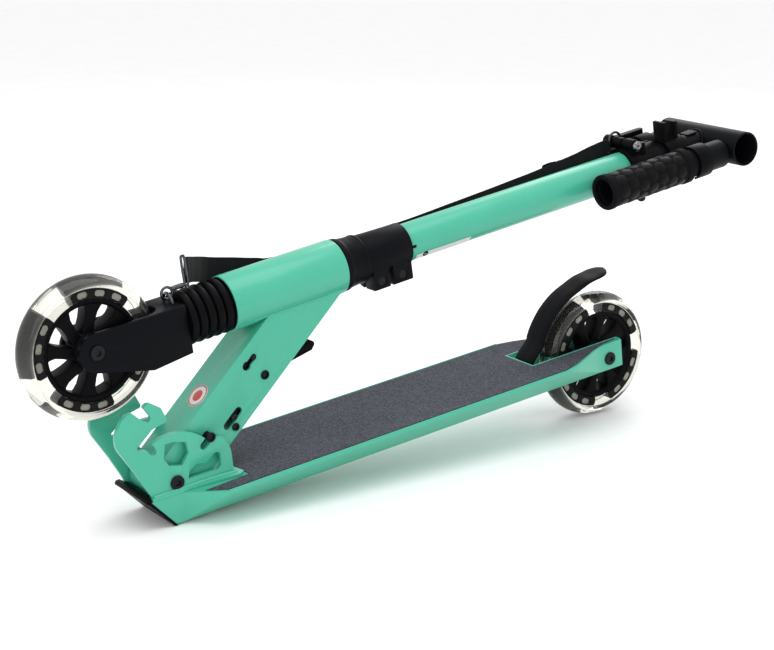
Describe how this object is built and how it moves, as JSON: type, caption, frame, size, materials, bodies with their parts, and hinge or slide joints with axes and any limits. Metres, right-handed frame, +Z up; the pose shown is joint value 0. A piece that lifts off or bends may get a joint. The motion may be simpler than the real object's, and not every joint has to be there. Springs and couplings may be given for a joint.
{
  "type": "kick scooter",
  "caption": "Folding kick scooter shown folded: mint-painted deck, neck and steering tube, black fork, hinge bracket and handlebar with parked grips, clear-tyred wheels and a carry strap.",
  "frame": {"origin": "centre of the overall box, at floor level, with the scooter folded and standing on its rear wheel and the nose of its deck", "axes": "+X forward along the deck towards the folding bracket, +Y to the rider's left, +Z up from the floor"},
  "size_m": [0.776, 0.114, 0.2866],
  "materials": {
    "clear_tyre": "translucent pale polyurethane",
    "smoked_core": "dark smoked ring",
    "black_plastic": "satin moulded",
    "black_metal": "satin black",
    "grip_tape": "coarse gritted",
    "black_rubber": "soft matt",
    "steel": "bright zinc",
    "chrome": "polished",
    "black_steel": "black oxide",
    "webbing": "woven black",
    "white_label": "plain printed label",
    "liner_plastic": "moulded",
    "neck_paint": "gloss clear-coated mint green",
    "mint_deck": "gloss clear-coated mint green",
    "mint_tube": "gloss clear-coated mint green",
    "clamp_black": "satin black",
    "fork_black": "satin black",
    "black_tube": "satin black"
  },
  "bodies": {
    "deck": {"deck": "mint_deck", "grip_tape": "grip_tape", "nose_cap": "black_plastic", "hinge_plate_left": "neck_paint", "hinge_plate_right": "neck_paint", "pivot_bolt": "black_steel", "rear_axle": "black_steel", "rear_spacers": "steel", "brake_pin": "steel", "brake_springs": "steel"},
    "brake": {"brake_fender": "black_metal"},
    "rear_wheel": {"rear_tyre": "clear_tyre", "rear_core_ring": "smoked_core", "rear_hub": "black_plastic", "rear_bearings": "steel", "rear_bearing_spacer": "steel"},
    "neck": {"neck": "neck_paint", "neck_bushes": "liner_plastic", "lever_bolt": "black_steel", "neck_screws": "black_steel", "round_badge": "white_label", "head_tube": "neck_paint", "headset_bearings": "steel"},
    "lock_slider": {"lock_slider": "black_steel", "slider_pins": "black_steel"},
    "release_lever": {"release_lever": "black_plastic"},
    "column": {"steerer": "steel", "spring_plug": "liner_plastic", "headset_cone": "black_plastic", "steering_tube": "mint_tube", "label_strip": "white_label", "column_clamp": "clamp_black", "clamp_bolts": "black_steel", "bellows": "black_rubber", "top_clamp": "black_plastic", "tube_sleeve": "liner_plastic", "lock_skewer": "chrome", "carry_strap": "webbing", "strap_ring": "chrome"},
    "lock_lever": {"lock_lever": "black_plastic"},
    "fork": {"fork": "fork_black", "strap_staple": "chrome", "snap_hook": "chrome", "front_axle": "black_steel", "front_spacers": "steel", "suspension_spring": "steel"},
    "front_wheel": {"front_tyre": "clear_tyre", "front_core_ring": "smoked_core", "front_hub": "black_plastic", "front_bearings": "steel", "front_bearing_spacer": "steel"},
    "t_bar": {"inner_tube": "black_tube", "cross_tube": "black_tube", "grip_clip": "black_plastic"},
    "grip_left": {"grip_tube_left": "black_tube", "grip_rubber_left": "black_rubber"},
    "grip_right": {"grip_tube_right": "black_tube", "grip_rubber_right": "black_rubber"},
    "grip_button_left": {"grip_button_left": "chrome"},
    "grip_button_right": {"grip_button_right": "chrome"}
  },
  "joints": [
    {"name": "fold", "type": "hinge", "parent": "deck", "child": "neck", "pos_m": [0.26056, 0, 0.03742], "axis": [0, 1, 0], "range_deg": [0, 78.77]},
    {"name": "rear_spin", "type": "hinge", "parent": "deck", "child": "rear_wheel", "pos_m": [-0.22405, 0, 0.0625], "axis": [0, 1, 0], "continuous": true},
    {"name": "brake_press", "type": "hinge", "parent": "deck", "child": "brake", "pos_m": [-0.14019, 0, 0.05679], "axis": [0, -1, 0], "range_deg": [0, 8], "stiffness_Nm_per_rad": 2, "springref_deg": -5.73},
    {"name": "lock_slide", "type": "slide", "parent": "neck", "child": "lock_slider", "axis": [0.7054, 0, -0.7088], "range_m": [0, 0.0096]},
    {"name": "lever_turn", "type": "hinge", "parent": "neck", "child": "release_lever", "pos_m": [0.16691, 0, 0.11466], "axis": [0, 1, 0], "range_deg": [0, 26.6]},
    {"name": "steer", "type": "hinge", "parent": "neck", "child": "column", "pos_m": [0.19029, 0, 0.17956], "axis": [-0.9899, 0, 0.1416], "range_deg": [-35, 35], "deforming": ["carry_strap"]},
    {"name": "lock_lever_turn", "type": "hinge", "parent": "column", "child": "lock_lever", "pos_m": [-0.26267, 0, 0.26858], "axis": [0, 1, 0], "range_deg": [0, 100]},
    {"name": "suspension", "type": "slide", "parent": "column", "child": "fork", "axis": [-0.9899, 0, 0.1416], "range_m": [0, 0.008], "stiffness_N_per_m": 20000, "springref_m": -0.002, "deforming": ["suspension_spring", "bellows"]},
    {"name": "front_spin", "type": "hinge", "parent": "fork", "child": "front_wheel", "pos_m": [0.3255, 0, 0.16224], "axis": [0, 1, 0], "continuous": true},
    {"name": "telescope", "type": "slide", "parent": "column", "child": "t_bar", "axis": [-0.9899, 0, 0.1416], "range_m": [0, 0.2]},
    {"name": "grip_out_left", "type": "slide", "parent": "t_bar", "child": "grip_left", "axis": [0.9899, 0, -0.1416], "range_m": [0, 0.045]},
    {"name": "button_press_left", "type": "slide", "parent": "grip_left", "child": "grip_button_left", "axis": [0.1416, 0, 0.9899], "range_m": [0, 0.0035], "stiffness_N_per_m": 800, "springref_m": -0.001},
    {"name": "grip_out_right", "type": "slide", "parent": "t_bar", "child": "grip_right", "axis": [0.9899, 0, -0.1416], "range_m": [0, 0.045]},
    {"name": "button_press_right", "type": "slide", "parent": "grip_right", "child": "grip_button_right", "axis": [0.1416, 0, 0.9899], "range_m": [0, 0.0035], "stiffness_N_per_m": 800, "springref_m": -0.001}
  ],
  "couplings": [
    {"joint": "lever_turn", "follows": "lock_slide", "rad_per_m": 48.15}
  ]
}
